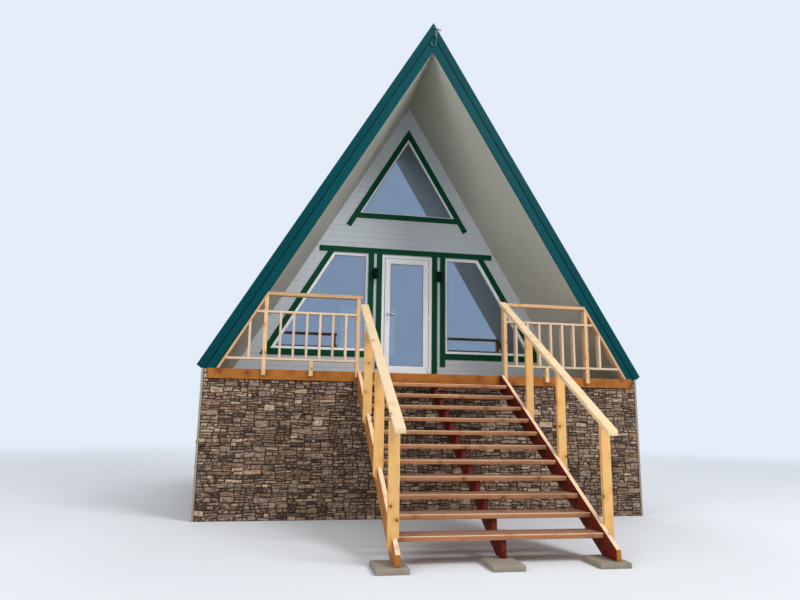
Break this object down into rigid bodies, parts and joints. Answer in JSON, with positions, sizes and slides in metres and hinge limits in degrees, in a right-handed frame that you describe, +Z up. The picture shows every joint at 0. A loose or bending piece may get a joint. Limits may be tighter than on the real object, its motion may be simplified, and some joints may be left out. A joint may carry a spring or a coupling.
{
  "type": "a-frame cabin",
  "caption": "A-frame cabin on a stone-clad base, with a covered front deck, railings, a wooden stair, glazed gable walls and a hinged glazed door.",
  "frame": {"origin": "on the ground, midway between the sides and midway between the stair's pads and the back edge", "axes": "+Z up, +Y from the front stair into the cabin, +X to the right seen from the front"},
  "size_m": [6.18, 10.083, 7.187],
  "materials": {
    "moss_green_metal": "satin dark moss green coil-coated steel",
    "green_trim": "dark green painted boards",
    "white_lining": "white painted planks",
    "white_siding": "white ribbed siding, fine horizontal joints",
    "white_frame": "white window and door profiles",
    "clear_glass": "clear, reflective",
    "stained_timber": "red-brown stain, visible grain",
    "pale_timber": "planed softwood, clear finish, knots",
    "deck_timber": "brown deck boards",
    "structural_timber": "sawn softwood",
    "stone_cladding": "faux ashlar panels in brown, grey and tan",
    "concrete": "plain grey concrete",
    "black_metal": "matt black",
    "handle_metal": "satin steel"
  },
  "bodies": {
    "cabin": {"base_wall_front": "stone_cladding", "base_wall_back": "stone_cladding", "base_wall_left": "stone_cladding", "base_wall_right": "stone_cladding", "floor_frame": "structural_timber", "floor_boards": "deck_timber", "fascia_front": "stained_timber", "fascia_back": "stained_timber", "fascia_left": "stained_timber", "fascia_right": "stained_timber", "roof_slope_left": "structural_timber", "roof_slope_right": "structural_timber", "roof_sheet_left": "moss_green_metal", "roof_sheet_right": "moss_green_metal", "roof_lining_left": "white_lining", "roof_lining_right": "white_lining", "ridge_cap": "moss_green_metal", "verge_front_left": "moss_green_metal", "verge_front_right": "moss_green_metal", "verge_back_left": "moss_green_metal", "verge_back_right": "moss_green_metal", "front_wall_left": "white_siding", "front_wall_right": "white_siding", "front_wall_gable": "white_siding", "back_wall": "white_siding", "loft_floor": "structural_timber", "window_frame_left": "white_frame", "window_frame_right": "white_frame", "window_frame_gable": "white_frame", "back_window_frames": "white_frame", "front_panes": "clear_glass", "back_panes": "clear_glass", "door_frame": "white_frame", "trim_header": "green_trim", "trim_door_boards": "green_trim", "trim_window_left": "green_trim", "trim_window_right": "green_trim", "trim_gable_window": "green_trim", "trim_back_windows": "green_trim", "wall_lamps": "black_metal", "railing_left": "pale_timber", "railing_right": "pale_timber", "stringer_left": "stained_timber", "stringer_right": "stained_timber", "stair_carriage": "stained_timber", "stair_treads": "stained_timber", "stair_posts_left": "pale_timber", "stair_posts_right": "pale_timber", "handrail_left": "pale_timber", "handrail_right": "pale_timber", "stair_pads": "concrete"},
    "door": {"door_leaf": "white_frame", "door_pane": "clear_glass", "door_handles": "handle_metal"}
  },
  "joints": [
    {"name": "door_hinge", "type": "hinge", "parent": "cabin", "child": "door", "pos_m": [0.3755, -0.1285, 1.885], "axis": [0, 0, 1], "range_deg": [0, 110]}
  ]
}
